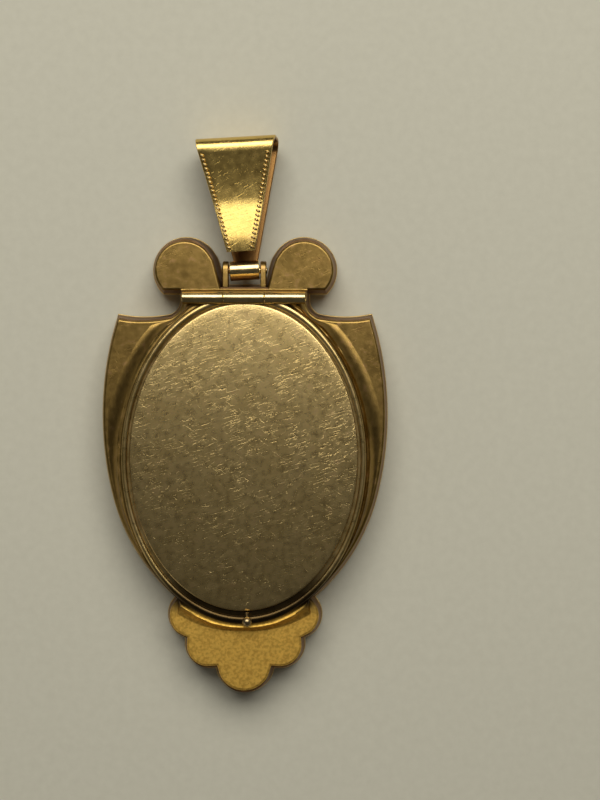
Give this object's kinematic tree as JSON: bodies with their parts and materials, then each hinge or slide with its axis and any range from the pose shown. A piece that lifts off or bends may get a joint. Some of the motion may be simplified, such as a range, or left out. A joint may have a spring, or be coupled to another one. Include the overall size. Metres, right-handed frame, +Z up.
{
  "type": "shield locket",
  "caption": "Shield-shaped pendant locket in gold-coloured metal with a hinged oval lid on the back, a scalloped apron and a swinging folded bail.",
  "frame": {"origin": "under the middle of the locket's box, on the surface it lies on", "axes": "+Z up out of the locket's back, where the lid is; +Y along the locket from the apron to the bail; +X to the right when looking down at the lid with the bail at the top. The locket lies on its front."},
  "size_m": [0.0294, 0.057, 0.0065],
  "materials": {
    "case_gold": "satin gold-filled sheet, worn and lightly tarnished",
    "lid_gold": "polished gold-filled sheet with fine scratches",
    "bail_gold": "polished gold-filled strip with milled bead edges",
    "ornament_gold": "satin gold-filled ornament",
    "hinge_gold": "polished gold-filled tube and wire",
    "card": "plain aged paper card",
    "window": "clear window"
  },
  "bodies": {
    "case": {"back_sheet": "case_gold", "seat_ring": "case_gold", "side_band": "case_gold", "front_sheet": "ornament_gold", "front_border": "ornament_gold", "front_bezel": "ornament_gold", "front_tablet": "ornament_gold", "ear_stud_left": "ornament_gold", "ear_stud_right": "ornament_gold", "apron_stud": "ornament_gold", "picture_cup": "case_gold", "picture_card": "card", "picture_window": "window", "retaining_rim": "hinge_gold", "case_knuckle_left": "hinge_gold", "case_knuckle_right": "hinge_gold", "lid_hinge_pin": "hinge_gold", "bail_lug_left": "case_gold", "bail_lug_right": "case_gold", "bail_pin": "hinge_gold"},
    "lid": {"lid_plate": "lid_gold", "lid_knuckle": "hinge_gold", "lid_snap_flange": "lid_gold", "thumb_ball": "lid_gold"},
    "bail": {"bail_tube": "bail_gold", "bail_band": "bail_gold", "bail_beads_back_left": "bail_gold", "bail_beads_back_right": "bail_gold", "bail_beads_front_left": "bail_gold", "bail_beads_front_right": "bail_gold"}
  },
  "joints": [
    {"name": "lid_hinge", "type": "hinge", "parent": "case", "child": "lid", "pos_m": [0, 0.01182, 0.00533], "axis": [-1, 0, 0], "range_deg": [0, 100]},
    {"name": "bail_swing", "type": "hinge", "parent": "case", "child": "bail", "pos_m": [0, 0.01482, 0.00278], "axis": [1, 0, 0], "range_deg": [-75, 75]}
  ]
}
